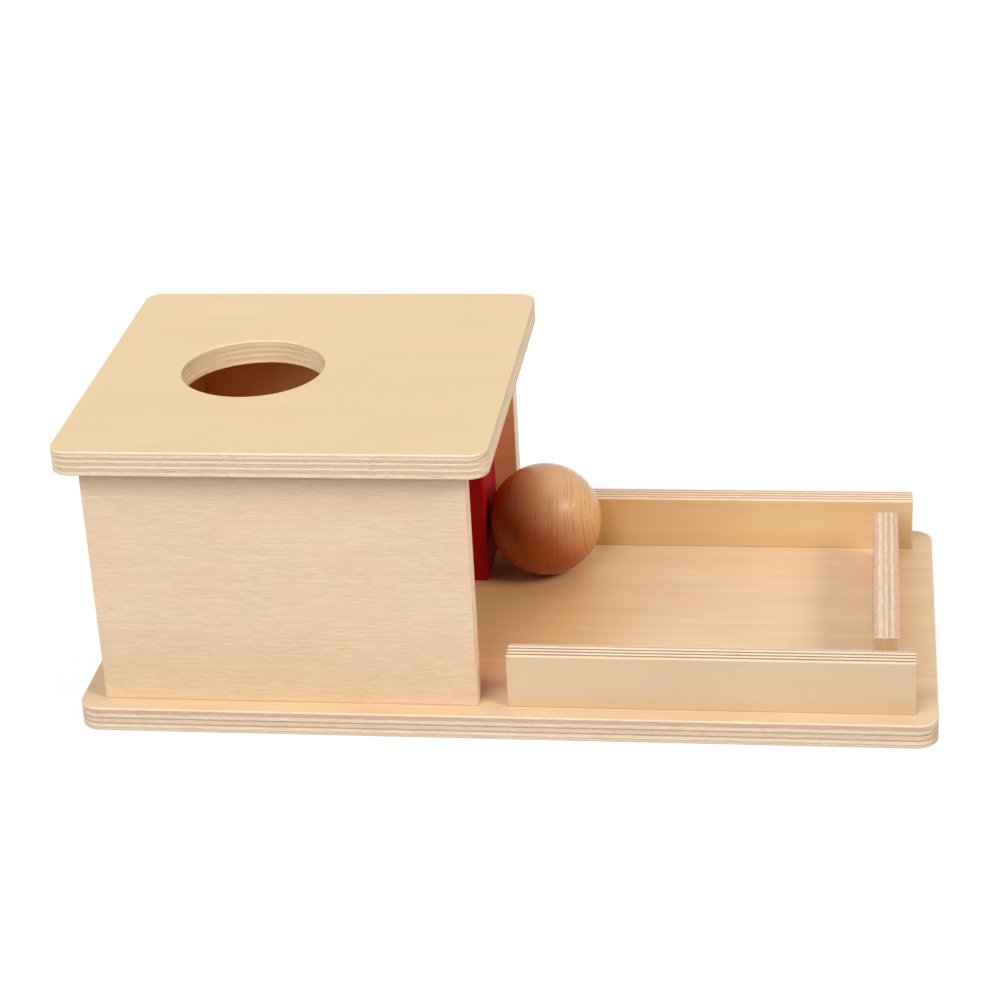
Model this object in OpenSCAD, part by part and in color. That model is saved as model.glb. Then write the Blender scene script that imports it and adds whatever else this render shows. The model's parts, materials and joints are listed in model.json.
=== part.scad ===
// Object permanence box. A ball posted through the hole in the lid lands on a hidden ramp,
// rolls out of a doorway and comes to rest in a railed tray on the same base board.
// Sizes are in millimetres. The origin is the middle of the base board's underside,
// with +X from the box towards the tray's end stop, +Y to the back and +Z up.

/* [Boards] */
// Thickness of the plywood that the boards are cut from
board_t = 9.5; // [8:0.5:12]
// Radius that eases the boards' edges
edge_r = 0.5; // [0.25:0.25:1.5]

/* [Base] */
// Length of the base board
base_l = 315; // [290:1:360]
// Width of the base board, from front to back
base_w = 156; // [146:1:180]
// Corner radius of the base board in plan
base_corner_r = 8; // [4:0.5:14]
// Strip of base left bare outside the long walls and the rails
side_margin = 7.5; // [4:0.5:10]

/* [Box] */
// Length of the two long walls
wall_l = 139.5; // [130:0.5:150]
// Height of the walls
wall_h = 94; // [84:1:120]
// Distance from the base's left end to the long walls
box_setback = 9.5; // [6:0.5:14]
// Distance from the long walls' left ends to the end wall
end_setback = 5; // [0:0.5:8]

/* [Lid] */
// Overhang of the lid past the ends of the long walls
lid_end_overhang = 9; // [4:0.5:12]
// Overhang of the lid past the outer faces of the long walls
lid_side_overhang = 6; // [2:0.5:10]
// Corner radius of the lid in plan
lid_corner_r = 7; // [4:0.5:14]
// Distance from the lid's left end to the middle of its hole
hole_offset = 59; // [54:0.5:90]
// Difference between the hole's diameter and the ball's
hole_play = 9.5; // [5:0.5:14]

/* [Doorway] */
// Distance from the long walls' right ends to the doorway panel
door_setback = 9; // [2:0.5:14]
// Room beside the ball in the doorway, both sides together
door_side_play = 11.5; // [6:0.5:24]
// Room over the ball in the doorway
door_head_play = 15.5; // [8:0.5:24]
// Radius of the doorway's upper corners
door_corner_r = 12; // [4:0.5:20]

/* [Ramp] */
// Slope of the ramp in degrees
ramp_angle = 12; // [8:0.5:16]
// Thickness of the ramp board
ramp_t = 6; // [4:0.5:8]
// Height of the step at the ramp's foot
ramp_toe = 1.5; // [1:0.25:3]
// Thickness of the block that carries the ramp's upper end
block_t = 12; // [8:0.5:20]

/* [Tray] */
// Height of the rails and the end stop above the base
rail_h = 21; // [18:0.5:30]
// Gap between the long walls' right ends and the rails
rail_gap = 11; // [6:0.5:16]
// Distance from the rails' right ends to the end of the base
rail_end_margin = 8; // [4:0.5:14]
// Radius of the upright edges at the back of the rails' ends
rail_corner_r = 2.5; // [1.25:0.25:4]
// Distance from the rails' right ends to the end stop
stop_setback = 6; // [2:0.5:16]
// Gap between each end of the stop and the rail beside it
stop_gap = 9.5; // [4:0.5:20]

/* [Ball] */
// Diameter of the ball
ball_d = 44.5; // [38:0.5:50]

/* [Screws] */
// Diameter of the screws' shanks
screw_d = 3.5; // [3:0.25:4.5]
// Diameter of the screws' heads
screw_head_d = 7; // [6:0.25:8.5]
// Length of the screws
screw_l = 25; // [20:0.5:26]
// Depth of the screw heads below the base's underside
screw_sink = 0.5; // [0.25:0.25:1]
// Width of the cross recess in the screw heads
screw_slot_w = 1; // [0.75:0.25:1.25]
// Depth of the cross recess in the screw heads
screw_slot_h = 1.2; // [0.8:0.1:1.6]
// Distance from the ends of a wall, a rail or the stop to its screws
screw_inset = 18; // [12:0.5:30]

/* [Dowels] */
// Diameter of the dowels between the long walls and the lid
dowel_d = 6; // [4:0.5:6.5]
// Depth of the dowel holes in the lid
dowel_lid_depth = 6; // [4:0.5:7]
// Depth of the dowel holes in the long walls
dowel_wall_depth = 12; // [8:0.5:20]
// Bevel at the dowels' ends
dowel_bevel = 0.75; // [0.5:0.25:1.25]
// Distance from the long walls' ends to the dowels
dowel_inset = 20; // [12:0.5:40]

/* [Clearances] */
// Gap between the ball and what it lies against
ball_gap = 0.3; // [0.2:0.05:0.6]
// Gap between the ramp and the four boards round it
ramp_gap = 0.3; // [0.1:0.1:1]
// Gap round the screws and the dowels
joint_gap = 0.1; // [0.05:0.05:0.2]

/* [Hidden] */
$fn = 64;

// How far cutting shapes run past the faces that they cut
overrun = 1;

base_top = board_t;
wall_top = base_top + wall_h;

// Outer faces, middle planes and inner room of the long walls, which the rails line up with
side_y = base_w / 2 - side_margin;
mid_y = side_y - board_t / 2;
inner_w = 2 * (side_y - board_t);

wall_x0 = box_setback - base_l / 2;
wall_x1 = wall_x0 + wall_l;
wall_mid_x = (wall_x0 + wall_x1) / 2;

// Inner face of the end wall, and inner and outer faces of the doorway panel
end_x = wall_x0 + end_setback + board_t;
door_x1 = wall_x1 - door_setback;
door_x0 = door_x1 - board_t;
door_w = ball_d + door_side_play;
door_h = ball_d + door_head_play;

lid_l = wall_l + 2 * lid_end_overhang;
lid_w = 2 * (side_y + lid_side_overhang);
hole_d = ball_d + hole_play;
hole_x = wall_x0 - lid_end_overhang + hole_offset;

// The ramp climbs from its foot at the doorway to its upper end at the end wall
ramp_x0 = end_x + ramp_gap;
ramp_x1 = door_x0 - ramp_gap;
ramp_w = inner_w - 2 * ramp_gap;
ramp_drop = ramp_t / cos(ramp_angle);
function ramp_top_z(x) = base_top + ramp_toe + (ramp_x1 - x) * tan(ramp_angle);
function ramp_under_z(x) = ramp_top_z(x) - ramp_drop;
ramp_seat_x = ramp_x1 - (ramp_drop - ramp_toe) / tan(ramp_angle);

rail_x0 = wall_x1 + rail_gap;
rail_x1 = base_l / 2 - rail_end_margin;
rail_l = rail_x1 - rail_x0;
rail_mid_x = (rail_x0 + rail_x1) / 2;
stop_x0 = rail_x1 - stop_setback - board_t;
stop_x = stop_x0 + board_t / 2;
stop_l = inner_w - 2 * stop_gap;

// The ball lies in the corner between the doorway panel's rear jamb and the back rail
ball_x = door_x1 + ball_gap + ball_d / 2;
ball_y = inner_w / 2 - ball_gap - ball_d / 2;
ball_z = base_top + ball_gap + ball_d / 2;

screw_head_h = (screw_head_d - screw_d) / 2;
screw_tip_h = screw_d;
wall_screw_xs = [wall_x0 + screw_inset, wall_x1 - screw_inset];
rail_screw_xs = [rail_x0 + screw_inset, rail_x1 - screw_inset];
stop_screw_ys = [screw_inset - stop_l / 2, stop_l / 2 - screw_inset];

dowel_xs = [wall_x0 + dowel_inset, wall_x1 - dowel_inset];
dowel_z = wall_top - dowel_wall_depth;
dowel_l = dowel_wall_depth + dowel_lid_depth - joint_gap;

// Draws its children at every pairing of the given places
module at_places(xs, ys) {
    for (x = xs, y = ys)
        translate([x, y, 0])
            children();
}

// Rectangle of a by b, centred, with rounded corners
module eased_rect(a, b, r) {
    square([a - 2 * r, b], center = true);
    square([a, b - 2 * r], center = true);
    for (x = [-1, 1], y = [-1, 1])
        translate([x * (a / 2 - r), y * (b / 2 - r)])
            circle(r);
}

// Rim of a flat board on z = 0, out to the given reach, with its two outer edges eased
module eased_rim(reach) {
    square([reach - edge_r, board_t]);
    translate([0, edge_r])
        square([reach, board_t - 2 * edge_r]);
    for (z = [edge_r, board_t - edge_r])
        translate([reach - edge_r, z])
            circle(edge_r);
}

// Cutter's rim for an opening of the given reach in that board, flared to ease the opening's edges
module flared_rim(reach) {
    difference() {
        translate([0, -overrun])
            square([reach + edge_r, board_t + 2 * overrun]);
        translate([reach, edge_r])
            square([edge_r, board_t - 2 * edge_r]);
        for (z = [edge_r, board_t - edge_r])
            translate([reach + edge_r, z])
                circle(edge_r);
    }
}

// Rounded rectangle of l by w whose rim, given as a child, runs along its sides and turns round its corners
module rimmed(l, w, corner_r) {
    core_l = l - 2 * corner_r;
    core_w = w - 2 * corner_r;
    for (q = [0 : 3]) {
        out = (q % 2 == 0 ? core_l : core_w) / 2;
        run = q % 2 == 0 ? core_w : core_l;
        rotate(90 * q)
            translate([out, run / 2, 0]) {
                rotate([90, 0, 0])
                    linear_extrude(run)
                        children();
                rotate_extrude(angle = 90)
                    children();
            }
    }
}

// Flat board of l by w on z = 0, with rounded corners and eased edges
module flat_board(l, w, corner_r) {
    translate([corner_r - l / 2, corner_r - w / 2, 0])
        cube([l - 2 * corner_r, w - 2 * corner_r, board_t]);
    rimmed(l, w, corner_r)
        eased_rim(corner_r);
}

// Cutter for an opening of l by w through a flat board on z = 0, with rounded corners
module opening(l, w, corner_r) {
    translate([corner_r - l / 2, corner_r - w / 2, -overrun])
        cube([l - 2 * corner_r, w - 2 * corner_r, board_t + 2 * overrun]);
    rimmed(l, w, corner_r)
        flared_rim(corner_r);
}

// Plan of a rail, with its two back corners rounded and its two front corners eased
module rail_plan() {
    half = board_t / 2;
    square([rail_l - 2 * rail_corner_r, board_t], center = true);
    translate([edge_r - rail_l / 2, -half])
        square([rail_l - 2 * edge_r, board_t - rail_corner_r]);
    translate([-rail_l / 2, edge_r - half])
        square([rail_l, board_t - edge_r - rail_corner_r]);
    for (x = [-1, 1]) {
        translate([x * (rail_l / 2 - rail_corner_r), half - rail_corner_r])
            circle(rail_corner_r);
        translate([x * (rail_l / 2 - edge_r), edge_r - half])
            circle(edge_r);
    }
}

// Strip of board standing on edge, with its plan given as a child and its top edges eased
module strip(l) {
    section_h = rail_h + 2 * edge_r;
    section_z = rail_h / 2 - edge_r;
    intersection() {
        linear_extrude(rail_h)
            children();
        translate([-l / 2, 0, section_z])
            rotate([90, 0, 90])
                linear_extrude(l)
                    eased_rect(board_t, section_h, edge_r);
        translate([0, board_t / 2, section_z])
            rotate([90, 0, 0])
                linear_extrude(board_t)
                    eased_rect(l, section_h, edge_r);
    }
}

// Countersunk screw seated from below, at its depth under the base board's underside
module screw() {
    translate([0, 0, screw_sink])
        difference() {
            union() {
                cylinder(h = screw_head_h, d1 = screw_head_d, d2 = screw_d);
                cylinder(h = screw_l - screw_tip_h, d = screw_d);
                translate([0, 0, screw_l - screw_tip_h])
                    cylinder(h = screw_tip_h, d1 = screw_d, d2 = 0);
            }
            for (turn = [0, 90])
                rotate(turn)
                    translate([-screw_d / 2, -screw_slot_w / 2, -overrun])
                        cube([screw_d, screw_slot_w, screw_slot_h + overrun]);
        }
}

// Hole for that screw, through the base board and into the piece that stands over it
module screw_hole() {
    hole = screw_d + 2 * joint_gap;
    sink = screw_head_d + 2 * joint_gap;
    translate([0, 0, -overrun])
        cylinder(h = screw_sink + overrun, d = sink);
    translate([0, 0, screw_sink]) {
        cylinder(h = screw_head_h, d1 = sink, d2 = hole);
        cylinder(h = screw_l + joint_gap, d = hole);
    }
}

// Hole for a dowel, half in a long wall and half in the lid
module dowel_hole() {
    translate([0, 0, dowel_z])
        cylinder(h = dowel_wall_depth + dowel_lid_depth, d = dowel_d + 2 * joint_gap);
}

// Long wall on the side given by its sign, with the holes for its screws and dowels
module long_wall(side) {
    difference() {
        translate([wall_mid_x, side * mid_y, base_top])
            linear_extrude(wall_h)
                eased_rect(wall_l, board_t, edge_r);
        at_places(wall_screw_xs, [side * mid_y])
            screw_hole();
        at_places(dowel_xs, [side * mid_y])
            dowel_hole();
    }
}

// Tray rail on the side given by its sign, with the holes for its screws
module rail(side) {
    difference() {
        translate([rail_mid_x, side * mid_y, base_top])
            strip(rail_l)
                rail_plan();
        at_places(rail_screw_xs, [side * mid_y])
            screw_hole();
    }
}

module base_board() {
    color("burlywood")
        difference() {
            flat_board(base_l, base_w, base_corner_r);
            at_places(concat(wall_screw_xs, rail_screw_xs), [-mid_y, mid_y])
                screw_hole();
            at_places([stop_x], stop_screw_ys)
                screw_hole();
        }
}

module front_wall() {
    color("bisque")
        long_wall(-1);
}

module back_wall() {
    color("bisque")
        long_wall(1);
}

module end_wall() {
    color("bisque")
        translate([end_x - board_t, -inner_w / 2, base_top])
            cube([board_t, inner_w, wall_h]);
}

// The doorway is open at the foot, so the ball rolls out over the bare base board
module doorway_panel() {
    color("firebrick")
        translate([door_x0, 0, base_top])
            rotate([90, 0, 90])
                difference() {
                    translate([-inner_w / 2, 0, 0])
                        cube([inner_w, wall_h, board_t]);
                    opening(door_w, 2 * door_h, door_corner_r);
                }
}

module lid() {
    color("wheat")
        difference() {
            translate([wall_mid_x, 0, wall_top])
                flat_board(lid_l, lid_w, lid_corner_r);
            translate([hole_x, 0, wall_top])
                rotate_extrude()
                    flared_rim(hole_d / 2);
            at_places(dowel_xs, [-mid_y, mid_y])
                dowel_hole();
        }
}

// The ramp's underside is cut level where it lies on the base board
module ramp() {
    color("tan")
        translate([0, ramp_w / 2, 0])
            rotate([90, 0, 0])
                linear_extrude(ramp_w)
                    polygon([
                        [ramp_seat_x, base_top],
                        [ramp_x1, base_top],
                        [ramp_x1, ramp_top_z(ramp_x1)],
                        [ramp_x0, ramp_top_z(ramp_x0)],
                        [ramp_x0, ramp_under_z(ramp_x0)]
                    ]);
}

// The block stands against the end wall, and its top is cut to the ramp's slope
module ramp_block() {
    color("tan")
        translate([0, ramp_w / 2, 0])
            rotate([90, 0, 0])
                linear_extrude(ramp_w)
                    polygon([
                        [end_x, base_top],
                        [end_x + block_t, base_top],
                        [end_x + block_t, ramp_under_z(end_x + block_t)],
                        [end_x, ramp_under_z(end_x)]
                    ]);
}

module front_rail() {
    color("burlywood")
        rail(-1);
}

module back_rail() {
    color("burlywood")
        rail(1);
}

module end_stop() {
    color("burlywood")
        difference() {
            translate([stop_x, 0, base_top])
                rotate(90)
                    strip(stop_l)
                        eased_rect(stop_l, board_t, edge_r);
            at_places([stop_x], stop_screw_ys)
                screw_hole();
        }
}

module ball() {
    color("peru")
        translate([ball_x, ball_y, ball_z])
            sphere(d = ball_d);
}

module base_screws() {
    color("silver") {
        at_places(concat(wall_screw_xs, rail_screw_xs), [-mid_y, mid_y])
            screw();
        at_places([stop_x], stop_screw_ys)
            screw();
    }
}

module lid_dowels() {
    tip_r = dowel_d / 2 - dowel_bevel;
    color("tan")
        at_places(dowel_xs, [-mid_y, mid_y])
            translate([0, 0, dowel_z])
                rotate_extrude()
                    polygon([
                        [0, 0],
                        [tip_r, 0],
                        [dowel_d / 2, dowel_bevel],
                        [dowel_d / 2, dowel_l - dowel_bevel],
                        [tip_r, dowel_l],
                        [0, dowel_l]
                    ]);
}

base_board();
front_wall();
back_wall();
end_wall();
doorway_panel();
lid();
ramp();
ramp_block();
front_rail();
back_rail();
end_stop();
ball();
base_screws();
lid_dowels();
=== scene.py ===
import json
import math
from dataclasses import dataclass

import bpy
from mathutils import Matrix, Vector


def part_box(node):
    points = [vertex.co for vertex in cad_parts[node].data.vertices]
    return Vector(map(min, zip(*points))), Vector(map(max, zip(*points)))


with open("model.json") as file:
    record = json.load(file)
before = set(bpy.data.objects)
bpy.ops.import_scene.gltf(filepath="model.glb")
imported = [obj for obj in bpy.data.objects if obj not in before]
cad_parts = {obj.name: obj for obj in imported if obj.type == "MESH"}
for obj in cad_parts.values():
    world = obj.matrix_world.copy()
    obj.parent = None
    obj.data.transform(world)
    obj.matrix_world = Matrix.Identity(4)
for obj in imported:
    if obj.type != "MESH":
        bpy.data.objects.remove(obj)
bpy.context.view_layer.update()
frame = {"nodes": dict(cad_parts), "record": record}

X = Vector((1, 0, 0))
Y = Vector((0, 1, 0))
Z = Vector((0, 0, 1))

# Millimetres in a metre: textures are sized in millimetres
MM = 1000


def srgb(red, green, blue):
    """Linear colour of a display colour that is given in 0 to 255."""
    def linear(value):
        share = value / 255
        return share / 12.92 if share <= 0.04045 else ((share + 0.055) / 1.055) ** 2.4
    return (linear(red), linear(green), linear(blue), 1.0)


@dataclass
class Pattern:
    """Noise: the size of its features along each axis of a place, in millimetres, and its detail."""
    size: tuple
    detail: float


VECTOR_MATH = "ShaderNodeVectorMath"

# Numbers of a mix node's colour sockets, which come after those for other kinds of data
MIX_INPUTS = (0, 6, 7)
MIX_OUTPUT = 2

# Wood turns browner where it is darker: green and blue change by these powers of the change in red
STAIN_GREEN = 1.4
STAIN_BLUE = 1.8


class Graph:
    """Adds nodes to one node tree. An input that gets a socket is linked, and any other value is set."""

    def __init__(self, tree):
        self.tree = tree

    def put(self, socket, value):
        if isinstance(value, bpy.types.NodeSocket):
            self.tree.links.new(value, socket)
        else:
            socket.default_value = value

    def node(self, kind, inputs=None, **settings):
        made = self.tree.nodes.new(kind)
        for name, value in settings.items():
            setattr(made, name, value)
        for key, value in (inputs or {}).items():
            self.put(made.inputs[key], value)
        return made

    def operate(self, kind, operation, values):
        """Node for an operation on values, which fill its first inputs."""
        made = self.node(kind, operation=operation)
        for socket, value in zip(made.inputs, values):
            self.put(socket, value)
        return made

    def math(self, operation, *values):
        return self.operate("ShaderNodeMath", operation, values).outputs["Value"]

    def vector(self, operation, *values):
        return self.operate(VECTOR_MATH, operation, values).outputs["Vector"]

    def dot(self, vector, axis):
        return self.operate(VECTOR_MATH, "DOT_PRODUCT", (vector, axis)).outputs["Value"]

    def length(self, vector):
        return self.operate(VECTOR_MATH, "LENGTH", (vector,)).outputs["Value"]

    def combined(self, x, y, z):
        return self.node("ShaderNodeCombineXYZ", {"X": x, "Y": y, "Z": z}).outputs["Vector"]

    def noise(self, place, pattern):
        """Noise from 0 to 1 at a place in millimetres."""
        scaled = self.vector("DIVIDE", place, pattern.size)
        inputs = {"Vector": scaled, "Scale": 1.0, "Detail": pattern.detail}
        return self.node("ShaderNodeTexNoise", inputs).outputs["Fac"]

    def centred(self, share):
        """Share from 0 to 1 moved to lie round 0."""
        return self.math("SUBTRACT", share, 0.5)

    def step(self, value, low, high):
        """Smooth step from 0 at low to 1 at high, which may be the smaller one."""
        ends = {"Value": value, "From Min": low, "From Max": high}
        return self.node("ShaderNodeMapRange", ends, interpolation_type="SMOOTHSTEP").outputs["Result"]

    def between(self, share, low, high):
        """Number that goes from low to high as the share goes from 0 to 1."""
        ends = {"Value": share, "To Min": low, "To Max": high}
        return self.node("ShaderNodeMapRange", ends).outputs["Result"]

    def mix(self, share, first, second):
        """Colour that goes from the first to the second as the share goes from 0 to 1."""
        made = self.node("ShaderNodeMix", data_type="RGBA")
        for index, value in zip(MIX_INPUTS, (share, first, second)):
            self.put(made.inputs[index], value)
        return made.outputs[MIX_OUTPUT]

    def tinted(self, colour, level):
        """Colour made lighter or darker by a level, where 1 leaves it as it is."""
        made = self.operate(VECTOR_MATH, "SCALE", (colour,))
        self.put(made.inputs["Scale"], level)
        return made.outputs["Vector"]

    def stained(self, colour, level):
        """Colour made lighter or darker by a level as wood is."""
        green = self.math("POWER", level, STAIN_GREEN)
        blue = self.math("POWER", level, STAIN_BLUE)
        return self.vector("MULTIPLY", colour, self.combined(level, green, blue))

    def washed(self, share, colour, tint):
        """Colour that is multiplied by a tint where the share is 1."""
        return self.mix(share, colour, self.vector("MULTIPLY", colour, tint))


def new_material(name):
    """Material with an empty tree, and the graph that fills it."""
    material = bpy.data.materials.new(name)
    material.use_nodes = True
    material.node_tree.nodes.clear()
    return material, Graph(material.node_tree)


def surface(graph, colour, roughness, height, relief_mm, constants):
    """Ends a material: its colour and roughness, relief from a height of 0 to 1, and constant inputs."""
    relief = {"Height": height, "Distance": relief_mm / MM, "Strength": 1.0}
    bump = graph.node("ShaderNodeBump", relief)
    inputs = {"Base Color": colour, "Roughness": roughness, "Normal": bump.outputs["Normal"]}
    shader = graph.node("ShaderNodeBsdfPrincipled", {**inputs, **constants})
    graph.node("ShaderNodeOutputMaterial", {"Surface": shader.outputs["BSDF"]})


def reach(node, axis):
    """Lowest and highest place of a node along an axis, in millimetres."""
    places = [vertex.co.dot(axis) * MM for vertex in frame["nodes"][node].data.vertices]
    return min(places), max(places)


def opening_middle(name):
    """Middle of one of the record's openings, in metres."""
    openings = frame["record"]["physics"]["openings"]
    low, high = next(opening["box_m"] for opening in openings if opening["name"] == name)
    return (Vector(low) + Vector(high)) / 2


# A face looks upward if its direction's height is above this. Directions alike to these digits are one
UPWARD = 0.1
NORMAL_DIGITS = 3


def widest_normal(node):
    """Direction of a node's upward faces that have the largest area together."""
    areas = {}
    for polygon in frame["nodes"][node].data.polygons:
        if polygon.normal.z > UPWARD:
            key = tuple(round(value, NORMAL_DIGITS) for value in polygon.normal)
            areas[key] = areas.get(key, 0) + polygon.area
    return Vector(max(areas, key=areas.get)).normalized()


# Noise in a board has its size along the face grain, across it and through the thickness.
# It is moved on by this much from one board's seed to the next
BOARD_SHIFT = Vector((131, 57, 83))


class Board:
    """Reads where a point of a board lies along its face grain, across it and through its thickness, in
    millimetres, and how squarely the surface there faces each of these ways, from 0 to 1."""

    def __init__(self, graph, along, thick, seed=0):
        axes = (along, thick.cross(along), thick)
        coords = graph.node("ShaderNodeTexCoord").outputs
        self.here = graph.tinted(coords["Object"], MM)
        self.normal = coords["Normal"]
        a, b, self.depth = (graph.dot(self.here, axis) for axis in axes)
        self.place = graph.vector("ADD", graph.combined(a, b, self.depth), BOARD_SHIFT * seed)
        self.face_along, self.face_across, self.face_thick = (
            graph.math("ABSOLUTE", graph.dot(self.normal, axis)) for axis in axes)


def spot(graph, board, middle, full, none):
    """Share that is 1 round a place in metres up to one distance, and 0 from another on, in millimetres."""
    away = graph.vector("SUBTRACT", board.here, middle * MM)
    return graph.step(graph.length(away), none, full)


def pale_highlit_rims(graph, board, colour, span, level):
    """Colour that is lighter by a level over the eased edges, where the surface turns from face to edge: a
    painted edge highlight.
    """
    turning = graph.math("MULTIPLY", board.face_thick, graph.math("SUBTRACT", 1, board.face_thick))
    return graph.tinted(colour, graph.between(graph.step(turning, *span), 1, level))


@dataclass
class Sheet:
    """Plywood as one piece was cut from it. Each ply has its share of the thickness, its level and how pink
    it is, from the low side up, and the first ply's grain runs along the face. The last numbers say how
    strongly the glue lines show on the edges and each kind of figure on the face."""
    plies: tuple
    pale: tuple
    dark: tuple
    blush: tuple
    long_edge: tuple
    end_edge: tuple
    glue: float = 0.3
    fibre: float = 0.5
    line: float = 0.5
    streak: float = 0.5
    cloud: float = 0.5
    fleck: float = 0.1


# Veneer: short fibres, long lines, streaks and clouds along the grain, patches of blush and dark flecks
FIBRE = Pattern((4.4, 0.30, 40), 3)
LINE = Pattern((30, 0.42, 40), 2)
STREAK = Pattern((100, 4, 60), 3)
CLOUD = Pattern((45, 22, 60), 1)
BLUSH = Pattern((26, 7, 50), 2)
BLUSH_SPAN = (0.42, 0.76)
BLUSH_LEVELS = (1.05, 0.95)
FLECK = Pattern((4, 0.5, 30), 1)
FLECK_SPAN = (0.69, 0.80)


def veneer(graph, board, sheet):
    """Face of a board: its colour, and its fibres, lines and flecks from 0 to 1."""
    fibre = graph.noise(board.place, FIBRE)
    line = graph.noise(board.place, LINE)
    figures = (
        (fibre, sheet.fibre),
        (line, sheet.line),
        (graph.noise(board.place, STREAK), sheet.streak),
        (graph.noise(board.place, CLOUD), sheet.cloud),
    )
    tone = 0.5
    for figure, weight in figures:
        tone = graph.math("MULTIPLY_ADD", graph.centred(figure), weight, tone)
    colour = graph.mix(tone, sheet.pale, sheet.dark)
    blush = graph.step(graph.noise(board.place, BLUSH), *BLUSH_SPAN)
    blushing = graph.tinted(sheet.blush[:3], graph.between(tone, *BLUSH_LEVELS))
    colour = graph.mix(blush, colour, blushing)
    fleck = graph.step(graph.noise(board.place, FLECK), *FLECK_SPAN)
    colour = graph.tinted(colour, graph.between(fleck, 1, 1 - sheet.fleck))
    return colour, fibre, line, fleck


# Half the width of a glue line, as a share of the thickness
GLUE_LINE_SHARE = 0.006


def ply_marks(graph, depth, plies):
    """Reads a board's plies at a depth from 0 to 1: the ply's level, whether it is a cross ply, the glue
    lines, and how pink the ply is."""
    total = sum(share for share, level, pink in plies)
    stops = []
    low = 0.0
    for index, (share, level, pink) in enumerate(plies):
        high = low + share / total
        cross = index % 2
        stops.append((low + GLUE_LINE_SHARE, (level, cross, 0, pink)))
        stops.append((high - GLUE_LINE_SHARE, (level, cross, 0, pink)))
        if index < len(plies) - 1:
            stops.append((high, (level, cross, 1, pink)))
        low = high
    ramp = graph.node("ShaderNodeValToRGB", {"Fac": depth})
    elements = ramp.color_ramp.elements
    for place, colour in stops[1:-1]:
        elements.new(place).color = colour
    for element, (place, colour) in ((elements[0], stops[0]), (elements[-1], stops[-1])):
        element.position = place
        element.color = colour
    marks = graph.node("ShaderNodeSeparateColor", {"Color": ramp.outputs["Color"]}).outputs
    return marks["Red"], marks["Green"], marks["Blue"], ramp.outputs["Alpha"]


# What bends the plies, and by which share of the thickness
PLY_BENDS = (
    (Pattern((45, 45, 90), 2), 0.03),
    (Pattern((3.5, 3.5, 90), 2), 0.03),
    (Pattern((1.2, 1.2, 20), 2), 0.025),
)

# Edges: end grain shows where a ply's grain meets the surface this squarely. Runs and mottle lie along the
# plies, pores lie in the end grain, and some plies have small gaps
END_GRAIN_SPAN = (0.55, 0.97)
PINK_TINT = (0.96, 0.86, 0.86)
RUN = Pattern((11, 11, 0.5), 3)
RUN_LEVELS = (0.82, 1.18)
MOTTLE = Pattern((2.4, 2.4, 0.45), 2)
MOTTLE_LEVELS = (0.86, 1.14)
PORES = Pattern((0.7, 0.7, 0.3), 2)
PORE_LEVELS = (1.08, 0.86)
GLUE = srgb(150, 108, 76)
GAP = srgb(110, 76, 54)
GAPS = Pattern((7, 7, 0.55), 1)
GAP_SPAN = (0.735, 0.79)
GAP_SHARE = 0.5


def ply_edges(graph, board, depth, sheet):
    """Edges of a board at a depth from 0 to 1: their colour, and their runs and gaps from 0 to 1."""
    for pattern, share in PLY_BENDS:
        bend = graph.centred(graph.noise(board.place, pattern))
        depth = graph.math("MULTIPLY_ADD", bend, share, depth)
    level, cross, glue, pink = ply_marks(graph, depth, sheet.plies)
    turned = graph.math("SUBTRACT", board.face_across, board.face_along)
    ends = graph.step(graph.math("MULTIPLY_ADD", cross, turned, board.face_along), *END_GRAIN_SPAN)
    colour = graph.stained(graph.mix(ends, sheet.long_edge, sheet.end_edge), level)
    colour = graph.washed(pink, colour, PINK_TINT)
    run = graph.noise(board.place, RUN)
    colour = graph.stained(colour, graph.between(run, *RUN_LEVELS))
    colour = graph.stained(colour, graph.between(graph.noise(board.place, MOTTLE), *MOTTLE_LEVELS))
    pores = graph.math("MULTIPLY", graph.noise(board.place, PORES), ends)
    colour = graph.tinted(colour, graph.between(pores, *PORE_LEVELS))
    colour = graph.mix(graph.math("MULTIPLY", glue, sheet.glue), colour, GLUE)
    gap = graph.step(graph.noise(board.place, GAPS), *GAP_SPAN)
    colour = graph.mix(graph.math("MULTIPLY", gap, GAP_SHARE), colour, GAP)
    return colour, run, gap


# The wall of the hole in the lid is paler, which is painted light, and its plies show less. It lies within
# this spread of the hole's middle, in millimetres
HOLE_WALL_LIGHT = srgb(255, 222, 168)
HOLE_WALL_LIGHT_SHARE = 0.4
HOLE_WALL_LIGHT_LEVELS = (0.92, 1.08)
HOLE_SPREAD = (35, 36)


def light_hole_wall(graph, board, colour, run, middle):
    """Colour of the edges with painted light on the wall of a hole round a place."""
    share = graph.math("MULTIPLY", spot(graph, board, middle, *HOLE_SPREAD), HOLE_WALL_LIGHT_SHARE)
    return graph.mix(share, colour, graph.tinted(HOLE_WALL_LIGHT[:3], graph.between(run, *HOLE_WALL_LIGHT_LEVELS)))


# The inner faces of the walls are darker and redder by these shares: painted shade, with painted red bounce
# light from the panel
INSIDE_SHADE_TINT = (1.06, 0.76, 0.47)
INSIDE_SPAN = (0.7, 0.95)
CORNER_SHADE_WIDTH = 1.0
CORNER_SHADE_LEVEL = 0.6


def shade_inside(graph, board, colour, inside, corner):
    """Colour of a wall whose inner face, which looks one way, gets painted shade. A wall with a corner gets
    it only past this place along X, in millimetres, and a line of painted shade runs down the corner."""
    darkened = graph.vector("MULTIPLY", colour, INSIDE_SHADE_TINT)
    share = graph.step(graph.dot(board.normal, inside), *INSIDE_SPAN)
    if corner is not None:
        past = graph.math("SUBTRACT", graph.dot(board.here, X), corner)
        line = graph.step(past, CORNER_SHADE_WIDTH, 0)
        darkened = graph.tinted(darkened, graph.between(line, 1, CORNER_SHADE_LEVEL))
        share = graph.math("MULTIPLY", share, graph.step(past, -CORNER_SHADE_WIDTH, 0))
    return graph.mix(share, colour, darkened)
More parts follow.
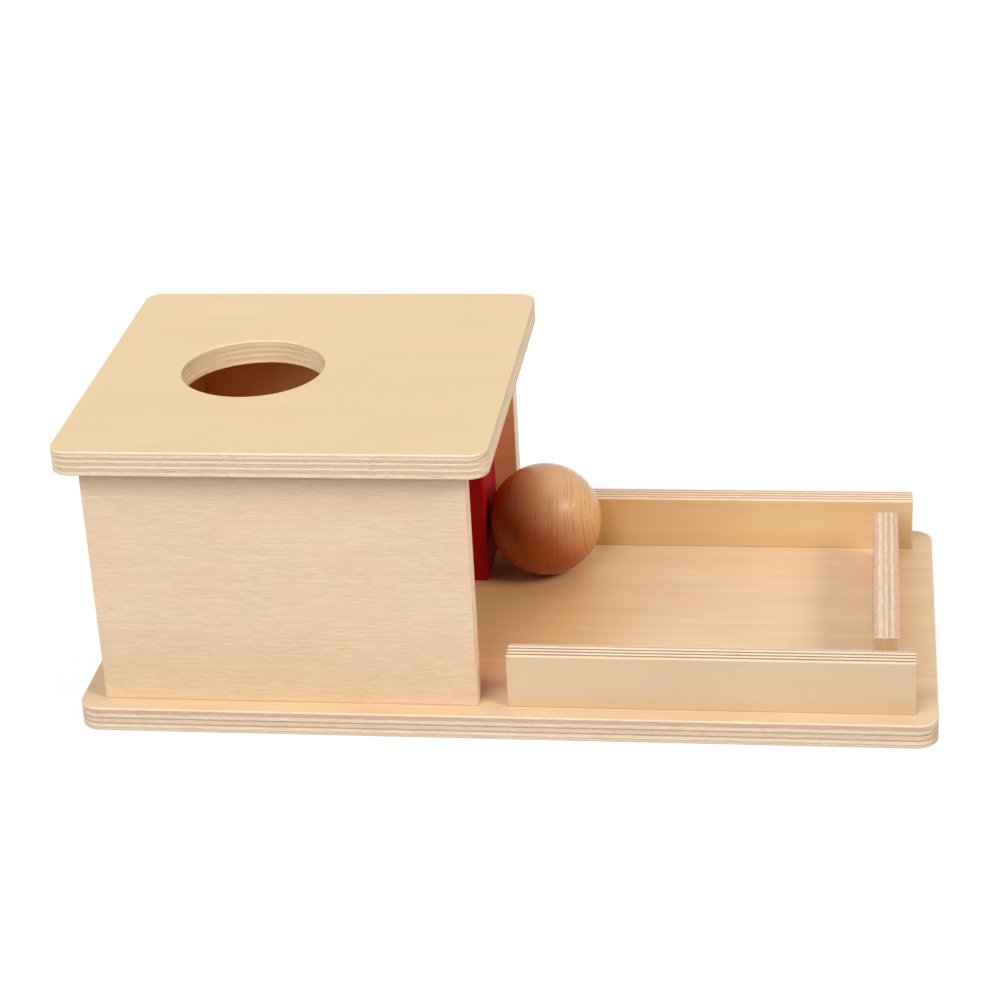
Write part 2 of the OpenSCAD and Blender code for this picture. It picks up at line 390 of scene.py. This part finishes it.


# A standing board has painted shade over this share of its height, and a painted contact shadow along its
# seam on the base, this high
FOOT_SHADE_SHARE = 0.45
FOOT_SHADE_TINT = (0.91, 0.90, 0.84)
SEAM_SHADOW = srgb(150, 104, 66)
SEAM_HEIGHT = 0.45
SEAM_SHARES = (0.3, 0.9)


def shade_foot(graph, board, colour, line, low, high):
    """Colour of a board that stands between two heights: painted shade at its foot, and a painted contact
    shadow along the seam below.
    """
    height = graph.dot(board.here, Z)
    foot_shade = graph.step(height, low + FOOT_SHADE_SHARE * (high - low), low)
    colour = graph.washed(foot_shade, colour, FOOT_SHADE_TINT)
    seam_shade = graph.step(height, low + SEAM_HEIGHT, low)
    seam_shade = graph.math("MULTIPLY", seam_shade, graph.between(line, *SEAM_SHARES))
    return graph.mix(seam_shade, colour, SEAM_SHADOW)


# Sawn ends are darker and more golden by these shares: partly end grain that soaked up the lacquer, partly
# painted shade
BUTT_SHADE_TINT = (0.93, 0.80, 0.61)
BUTT_SHADE_SPAN = (0.9, 0.99)

# Painted warm shade: the faces are more golden by these shares round where the ball lands and lies
WARM_SHADE_TINT = (1.05, 0.91, 0.68)

# Faces turn into edges over the eased edges, which are a little paler: partly sanded wood, partly a painted
# edge highlight
FLAT_SPAN = (0.60, 0.95)
RIM_SPAN = (0.03, 0.2)
RIM_HIGHLIGHT_LEVEL = 1.04

# Lacquer: its sheen, which is duller on the edges, and the relief of the wood under it, in millimetres
LACQUER_ROUGHNESS = (0.42, 0.54)
EDGE_DULLNESS = 0.08
FLECK_DEPTH = 0.6
GAP_DEPTH = 2.0
LACQUER_RELIEF = 0.03
LACQUER_SHINE = {"Specular IOR Level": 0.3}


def plywood(node, sheet, along, thick, seed, inside=None, corner=None, shaded_foot=False, shaded_ends=False, hole=None,
            warm_shade_spot=None):
    """Lacquered plywood for a board whose face grain runs along one axis and whose plies lie across
    another. It can have painted shade on its inner face and at its foot, ends darkened partly by painted
    shade, a hole whose wall gets painted light, and a spot of painted warm shade on its face."""
    material, graph = new_material(node + "_plywood")
    board = Board(graph, along, thick, seed)
    face, fibre, line, fleck = veneer(graph, board, sheet)
    # A spot of painted warm shade on the face
    if warm_shade_spot:
        face = graph.washed(spot(graph, board, *warm_shade_spot), face, WARM_SHADE_TINT)
    low, high = reach(node, thick)
    depth = graph.math("DIVIDE", graph.math("SUBTRACT", board.depth, low), high - low)
    edge, run, gap = ply_edges(graph, board, depth, sheet)
    # Painted light on the wall of the hole
    if hole:
        edge = light_hole_wall(graph, board, edge, run, hole)
    # Ends darkened partly by their end grain and partly by painted shade
    if shaded_ends:
        edge = graph.washed(graph.step(board.face_across, *BUTT_SHADE_SPAN), edge, BUTT_SHADE_TINT)
    flat = graph.step(board.face_thick, *FLAT_SPAN)
    # Paler rims: partly sanded wood, partly a painted edge highlight
    colour = pale_highlit_rims(graph, board, graph.mix(flat, edge, face), RIM_SPAN, RIM_HIGHLIGHT_LEVEL)
    # Painted shade on the inner face, and down its corner
    if inside:
        colour = shade_inside(graph, board, colour, inside, corner)
    # Painted shade at the foot of a standing board, and a painted contact shadow along its seam
    if shaded_foot:
        colour = shade_foot(graph, board, colour, line, *reach(node, Z))
    roughness = graph.between(fibre, *LACQUER_ROUGHNESS)
    roughness = graph.math("MULTIPLY_ADD", graph.math("SUBTRACT", 1, flat), EDGE_DULLNESS, roughness)
    face_relief = graph.math("MULTIPLY_ADD", fleck, -FLECK_DEPTH, fibre)
    edge_relief = graph.math("MULTIPLY_ADD", gap, -GAP_DEPTH, run)
    relief = graph.mix(flat, edge_relief, face_relief)
    surface(graph, colour, roughness, relief, LACQUER_RELIEF, LACQUER_SHINE)
    return material


@dataclass
class Log:
    """Solid wood: its paler and darker colour, the direction towards the darker one, how dark the late wood
    and the pores are, the spacing of the growth rings, and where the pith runs past the piece, across the
    grain from its middle. The rings fade above the clear height along the grain. Sizes are in
    millimetres."""
    sap: tuple
    heart_and_shade: tuple
    towards_heart_and_shade: Vector
    late: float
    pore: float
    ring: float
    pith: tuple
    clear: float = 1000


# Noise in solid wood has its size across the grain, twice, and along it, and is moved on from seed to seed
LOG_SHIFT = Vector((41, 67, 29))

# The change from sap to heart, which on the ball is painted shade, as shares of the piece's half width
# towards the heart, and how far it wavers
HEART_AND_SHADE_SPAN = (-0.9, 0.15)
HEART_AND_SHADE_WAVER = Pattern((18, 18, 45), 2)
HEART_AND_SHADE_WAVER_SHARE = 0.4

# Growth rings wander by this many millimetres, and their late wood is long and shows in patches
RING_WANDER = Pattern((26, 26, 110), 1)
RING_WANDER_REACH = 6
RING_LENGTH = 70
LATE_SPAN = (0.47, 0.68)
LATE_PATCHES = Pattern((5, 5, 22), 2)
LATE_PATCH_SPAN = (0.26, 0.62)
CLEAR_FADE = 1

# Pores are short dashes along the grain. The surface is polished, with a little relief in millimetres
DASHES = Pattern((0.34, 0.34, 4.5), 2)
DASH_SPAN = (0.54, 0.72)
BESIDE_DASHES = 1.03
POLISH_ROUGHNESS = (0.18, 0.29)
UNEVEN = Pattern((0.5, 0.5, 1.0), 2)
DASH_DEPTH = 0.2
LATE_DEPTH = 0.5
POLISH_RELIEF = 0.10
POLISH_SHINE = {"Specular IOR Level": 0.33}


def late_wood(graph, log, place, shifted, height):
    """Dark part of the growth rings round the pith, from 0 to 1."""
    out = graph.vector("SUBTRACT", place, Vector((*log.pith, 0)))
    out = graph.length(graph.vector("MULTIPLY", out, X + Y))
    wander = graph.centred(graph.noise(shifted, RING_WANDER))
    rings = graph.combined(graph.math("MULTIPLY_ADD", wander, RING_WANDER_REACH, out), 0, height)
    late = graph.step(graph.noise(rings, Pattern((log.ring, 1, RING_LENGTH), 1)), *LATE_SPAN)
    patches = graph.step(graph.noise(shifted, LATE_PATCHES), *LATE_PATCH_SPAN)
    late = graph.math("MULTIPLY", late, patches)
    return graph.math("MULTIPLY", late, graph.step(height, log.clear + CLEAR_FADE, log.clear - CLEAR_FADE))


def solid_wood(node, log, grain, seed):
    """Turned or sawn wood whose grain runs along one direction, though not along X: broad colour changes,
    growth rings and pores."""
    material, graph = new_material(node + "_wood")
    low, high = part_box(node)
    side = (X - grain * grain.x).normalized()
    coords = graph.node("ShaderNodeTexCoord").outputs
    here = graph.tinted(graph.vector("SUBTRACT", coords["Object"], (low + high) / 2), MM)
    u, v, height = (graph.dot(here, axis) for axis in (side, grain.cross(side), grain))
    place = graph.combined(u, v, height)
    shifted = graph.vector("ADD", place, LOG_SHIFT * seed)

    # On the ball the darker side is painted shade
    half_width = (high - low).x * MM / 2
    deep = graph.math("DIVIDE", graph.dot(here, log.towards_heart_and_shade.normalized()), half_width)
    waver = graph.centred(graph.noise(shifted, HEART_AND_SHADE_WAVER))
    deep = graph.math("MULTIPLY_ADD", waver, HEART_AND_SHADE_WAVER_SHARE, deep)
    colour = graph.mix(graph.step(deep, *HEART_AND_SHADE_SPAN), log.sap, log.heart_and_shade)
    late = late_wood(graph, log, place, shifted, height)
    colour = graph.stained(colour, graph.between(late, 1, log.late))
    dashes = graph.noise(shifted, DASHES)
    pore = graph.step(dashes, *DASH_SPAN)
    colour = graph.stained(colour, graph.between(pore, BESIDE_DASHES, log.pore))

    roughness = graph.between(dashes, *POLISH_ROUGHNESS)
    relief = graph.math("MULTIPLY_ADD", late, -LATE_DEPTH, graph.noise(shifted, UNEVEN))
    relief = graph.math("MULTIPLY_ADD", pore, -DASH_DEPTH, relief)
    surface(graph, colour, roughness, relief, POLISH_RELIEF, POLISH_SHINE)
    return material


# Paint: deeper in places, with brush marks along the grain and a fine orange peel, and a painted highlight
# on the rims
PAINT_DEEP = srgb(164, 11, 14)
PAINT_BRIGHT = srgb(188, 18, 20)
PAINT_CLOUD = Pattern((30, 22, 22), 2)
BRUSH = Pattern((40, 1.1, 1.1), 3)
BRUSH_SHARE = 0.35
PEEL = Pattern((1.3, 1.3, 1.3), 1)
PEEL_SHARE = 0.6
PAINT_RIM_SPAN = (0.05, 0.22)
PAINT_RIM_HIGHLIGHT_LEVEL = 1.1
PAINT_ROUGHNESS = (0.52, 0.64)
PAINT_RELIEF = 0.02
PAINT_SHINE = {"Specular IOR Level": 0.12}


def red_paint(node, along, thick):
    """Brushed paint on plywood, with brush marks along the grain."""
    material, graph = new_material(node + "_paint")
    board = Board(graph, along, thick)
    cloud = graph.noise(board.place, PAINT_CLOUD)
    brush = graph.noise(board.place, BRUSH)
    tone = graph.math("MULTIPLY_ADD", graph.centred(brush), BRUSH_SHARE, cloud)
    colour = graph.mix(tone, PAINT_DEEP, PAINT_BRIGHT)
    # Painted highlight on the rims
    colour = pale_highlit_rims(graph, board, colour, PAINT_RIM_SPAN, PAINT_RIM_HIGHLIGHT_LEVEL)
    roughness = graph.between(cloud, *PAINT_ROUGHNESS)
    relief = graph.math("MULTIPLY_ADD", graph.noise(board.place, PEEL), PEEL_SHARE, brush)
    surface(graph, colour, roughness, relief, PAINT_RELIEF, PAINT_SHINE)
    return material


# Zinc plating: cloudy, with drawn marks along the shank
ZINC_GREY = srgb(196, 198, 202)
ZINC_WARM = srgb(222, 220, 210)
ZINC_CLOUD = Pattern((2.5, 2.5, 2.5), 3)
DRAWN = Pattern((0.12, 0.12, 4), 2)
STEEL_ROUGHNESS = (0.24, 0.46)
STEEL_RELIEF = 0.01
STEEL_SHINE = {"Metallic": 1.0}


def plated_steel(node):
    """Zinc-plated screws that stand upright."""
    material, graph = new_material(node + "_steel")
    coords = graph.node("ShaderNodeTexCoord").outputs
    place = graph.tinted(coords["Object"], MM)
    drawn = graph.noise(place, DRAWN)
    colour = graph.mix(graph.noise(place, ZINC_CLOUD), ZINC_GREY, ZINC_WARM)
    roughness = graph.between(drawn, *STEEL_ROUGHNESS)
    surface(graph, colour, roughness, drawn, STEEL_RELIEF, STEEL_SHINE)
    return material


# Plies as (share of the thickness, level, pink), from the low side of each board up
LID_PLIES = ((0.17, 0.99, 0.4), (0.155, 0.98, 0), (0.075, 1.03, 0), (0.155, 0.98, 0), (0.07, 1.03, 0),
             (0.12, 0.94, 0), (0.085, 0.98, 0.5), (0.045, 1.02, 0.3), (0.085, 0.99, 0))
BASE_PLIES = ((0.12, 0.93, 0.2), (0.03, 0.98, 0), (0.14, 1.01, 0), (0.065, 0.87, 0.3), (0.155, 0.96, 0.8),
              (0.065, 0.86, 0.3), (0.145, 0.98, 0), (0.165, 1.0, 0.5), (0.08, 1.0, 0))
RAIL_PLIES = ((0.105, 0.92, 0.2), (0.105, 0.64, 0), (0.125, 1.02, 0), (0.10, 0.60, 0), (0.125, 1.02, 0),
              (0.10, 0.64, 0), (0.14, 1.0, 0), (0.10, 1.0, 0.6), (0.08, 0.96, 0.4))
FINE_PLIES = ((0.13, 0.97, 0), (0.105, 0.89, 0.4), (0.118, 1.01, 0), (0.10, 0.85, 0.4), (0.118, 0.99, 0),
              (0.10, 0.87, 0.4), (0.14, 0.95, 0.3), (0.09, 0.95, 0.3), (0.07, 0.92, 0.2))
STOP_PLIES = ((0.19, 0.96, 0.7), (0.16, 1.0, 0.1), (0.11, 0.96, 0.3), (0.09, 1.0, 0), (0.13, 0.90, 0.4),
              (0.11, 1.0, 0), (0.21, 0.96, 0.7))
RAMP_PLIES = ((0.2, 1.0, 0), (0.2, 0.95, 0.2), (0.2, 1.0, 0), (0.2, 0.95, 0.2), (0.2, 1.0, 0))

LID = Sheet(LID_PLIES, pale=srgb(231, 205, 165), dark=srgb(223, 196, 154), blush=srgb(231, 200, 158),
            long_edge=srgb(243, 221, 189), end_edge=srgb(230, 200, 165),
            fibre=0.25, line=0.15, streak=0.4, cloud=0.9, fleck=0.04)
WALL = Sheet(LID_PLIES, pale=srgb(250, 222, 189), dark=srgb(229, 197, 160), blush=srgb(240, 207, 175),
             long_edge=srgb(252, 232, 204), end_edge=srgb(248, 221, 188),
             fibre=2.1, line=1.0, streak=0.3, cloud=0.5, fleck=0.08)
BASE = Sheet(BASE_PLIES, pale=srgb(232, 206, 170), dark=srgb(217, 183, 142), blush=srgb(225, 190, 151),
             long_edge=srgb(234, 212, 183), end_edge=srgb(220, 189, 157),
             fibre=0.3, line=0.5, streak=1.1, cloud=0.7, fleck=0.16)
RAIL = Sheet(RAIL_PLIES, pale=srgb(236, 207, 172), dark=srgb(221, 189, 147), blush=srgb(227, 197, 166),
             long_edge=srgb(238, 219, 191), end_edge=srgb(214, 181, 149),
             fibre=0.35, line=0.2, streak=0.4, cloud=1.0)
# The back rail has its own plies, and colours more golden than the front rail's, which is painted warm
# shade
SHADED_BACK_RAIL = Sheet(FINE_PLIES, pale=srgb(232, 202, 154), dark=srgb(216, 181, 132), blush=srgb(228, 190, 142),
                  long_edge=srgb(238, 213, 181), end_edge=srgb(220, 188, 156),
                  fibre=0.3, line=0.3, streak=0.6, cloud=1.0)
STOP = Sheet(STOP_PLIES, pale=srgb(232, 202, 164), dark=srgb(216, 180, 136), blush=srgb(226, 188, 146),
             long_edge=srgb(219, 199, 174), end_edge=srgb(223, 192, 160),
             fibre=0.4, line=0.3, streak=0.6, cloud=0.8)
RAMP = Sheet(RAMP_PLIES, pale=srgb(236, 208, 172), dark=srgb(218, 182, 142), blush=srgb(228, 192, 152),
             long_edge=srgb(240, 216, 184), end_edge=srgb(206, 170, 136))

# The ball's darker heart colour lies towards its lower left side, where it is painted shade
BEECH = Log(sap=srgb(228, 178, 124), heart_and_shade=srgb(168, 86, 32), towards_heart_and_shade=Vector((-0.7, -0.1, -0.7)),
            late=0.74, pore=0.80, ring=0.8, pith=(-38, -10), clear=19.6)
BLOCK = Log(sap=srgb(228, 192, 150), heart_and_shade=srgb(206, 164, 120), towards_heart_and_shade=Z,
            late=0.82, pore=0.86, ring=2.0, pith=(-45, 30))
DOWEL = Log(sap=srgb(226, 186, 146), heart_and_shade=srgb(208, 164, 124), towards_heart_and_shade=X,
            late=0.85, pore=0.86, ring=1.2, pith=(-20, 14))

# The ball's grain stands nearly upright and leans towards the front
BALL_GRAIN = Vector((-0.06, -0.30, 0.95)).normalized()

# The spots of painted warm shade are fully golden up to the first distance, and not from the second on, in
# millimetres
LANDING_SHADE_SPREAD = (40, 88)
LYING_SHADE_SPREAD = (24, 52)


def dress():
    """Gives each CAD node its material."""
    slope = widest_normal("ramp")
    corner = reach("end_wall", X)[1]
    # Painted warm shade round the doorway and round the ball
    landing_shade = (opening_middle("doorway"), *LANDING_SHADE_SPREAD)
    ball_low, ball_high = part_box("ball")
    lying_shade = ((ball_low + ball_high) / 2, *LYING_SHADE_SPREAD)
    made = {
        "base_board": plywood("base_board", BASE, X, Z, 1, warm_shade_spot=landing_shade),
        "front_wall": plywood("front_wall", WALL, X, Y, 2, inside=Y, corner=corner, shaded_foot=True),
        "back_wall": plywood("back_wall", WALL, X, Y, 3, inside=-Y, corner=corner, shaded_foot=True),
        "end_wall": plywood("end_wall", WALL, Y, X, 4, inside=X, shaded_foot=True),
        "lid": plywood("lid", LID, X, Z, 5, hole=opening_middle("lid_hole")),
        "front_rail": plywood("front_rail", RAIL, X, Y, 6, shaded_foot=True),
        "back_rail": plywood("back_rail", SHADED_BACK_RAIL, X, Y, 7, shaded_foot=True, warm_shade_spot=lying_shade),
        "end_stop": plywood("end_stop", STOP, Z, X, 8, shaded_ends=True),
        "ramp": plywood("ramp", RAMP, Y.cross(slope), slope, 9),
        "ramp_block": solid_wood("ramp_block", BLOCK, Y, 1),
        "ball": solid_wood("ball", BEECH, BALL_GRAIN, 2),
        "lid_dowels": solid_wood("lid_dowels", DOWEL, Z, 3),
        "doorway_panel": red_paint("doorway_panel", Z, X),
        "base_screws": plated_steel("base_screws"),
    }
    for node, material in made.items():
        frame["nodes"][node].material_slots[0].material = material


# The camera's place in metres, its heading, tilt and roll in degrees, its lens and sensor in millimetres
CAMERA_PLACE = Vector((0.1298, -0.9078, 0.4992))
CAMERA_HEADING = -8.566
CAMERA_TILT = -25.625
CAMERA_ROLL = -3.094
CAMERA_LENS = 96.4
CAMERA_SENSOR = 36.0


def turn(degrees, axis):
    return Matrix.Rotation(math.radians(degrees), 4, axis)


def add_camera():
    """Camera that looks ahead from the front when its heading, tilt and roll are 0."""
    data = bpy.data.cameras.new("camera")
    data.lens = CAMERA_LENS
    data.sensor_width = CAMERA_SENSOR
    camera = bpy.data.objects.new("camera", data)
    bpy.context.scene.collection.objects.link(camera)
    aim = turn(-CAMERA_HEADING, "Z") @ turn(90 + CAMERA_TILT, "X") @ turn(CAMERA_ROLL, "Z")
    camera.matrix_world = Matrix.Translation(CAMERA_PLACE) @ aim
    bpy.context.scene.camera = camera


@dataclass
class Softbox:
    """Wide soft light: where it comes from, in degrees round from the front and up, its level, its width in
    degrees and its colour."""
    name: str
    azimuth: float
    elevation: float
    level: float
    width: float
    colour: tuple


SOFTBOXES = (
    Softbox("key", -30, 41, 0.75, 50, (0.98, 1.01, 1.07)),
    Softbox("side", 65, 38, 0.50, 22, (1.02, 0.98, 0.90)),
    Softbox("back", 150, 66, 0.24, 60, (1.02, 0.98, 0.90)),
)


def add_light(box):
    """Light that gives a white face turned squarely to it the box's level."""
    data = bpy.data.lights.new(box.name, "SUN")
    data.energy = box.level * math.pi
    data.color = box.colour
    data.angle = math.radians(box.width)
    light = bpy.data.objects.new(box.name, data)
    bpy.context.scene.collection.objects.link(light)
    light.matrix_world = turn(box.azimuth, "Z") @ turn(90 - box.elevation, "X")


def seen_rays(graph):
    """1 for rays from the camera, also by way of a mirror or glass, and 0 for rays that carry light."""
    path = graph.node("ShaderNodeLightPath").outputs
    seen = graph.math("MAXIMUM", path["Is Camera Ray"], path["Is Glossy Ray"])
    return graph.math("MAXIMUM", seen, path["Is Transmission Ray"])


# Light from all round, and the level of the background where it is seen
AMBIENT = 0.04
WHITE_LEVEL = 1.0


def add_world():
    """Even white light from all round, and a white background."""
    world = bpy.data.worlds.new("studio")
    world.use_nodes = True
    world.node_tree.nodes.clear()
    graph = Graph(world.node_tree)
    strength = graph.between(seen_rays(graph), AMBIENT, WHITE_LEVEL)
    light = graph.node("ShaderNodeBackground", {"Color": (1, 1, 1, 1), "Strength": strength})
    graph.node("ShaderNodeOutputWorld", {"Surface": light.outputs["Background"]})
    bpy.context.scene.world = world


# The floor's size and its gap under the base, in metres
FLOOR_SIZE = 20.0
FLOOR_GAP = 0.0002

# The floor gives back this share of the light. Where it is seen it is darker, and a glow makes it white
FLOOR_LEVEL = 0.45
FLOOR_SEEN_LEVEL = 0.27
FLOOR_GLOW = 0.8


def floor_material():
    """Pale floor that looks white and keeps the object's shadow."""
    material, graph = new_material("floor")
    seen = seen_rays(graph)
    level = graph.between(seen, FLOOR_LEVEL, FLOOR_SEEN_LEVEL)
    pale = graph.node("ShaderNodeBsdfDiffuse", {"Color": level})
    strength = graph.math("MULTIPLY", seen, FLOOR_GLOW)
    glow = graph.node("ShaderNodeEmission", {"Strength": strength})
    both = graph.node("ShaderNodeAddShader", {0: pale.outputs["BSDF"], 1: glow.outputs["Emission"]})
    graph.node("ShaderNodeOutputMaterial", {"Surface": both.outputs["Shader"]})
    return material


def add_floor():
    half = FLOOR_SIZE / 2
    mesh = bpy.data.meshes.new("floor")
    corners = [(-half, -half, 0), (half, -half, 0), (half, half, 0), (-half, half, 0)]
    mesh.from_pydata(corners, [], [(0, 1, 2, 3)])
    mesh.materials.append(floor_material())
    floor = bpy.data.objects.new("floor", mesh)
    floor.location.z = -FLOOR_GAP
    bpy.context.scene.collection.objects.link(floor)


add_camera()
for softbox in SOFTBOXES:
    add_light(softbox)
add_world()
add_floor()
dress()
bpy.context.scene.view_settings.view_transform = "Standard"
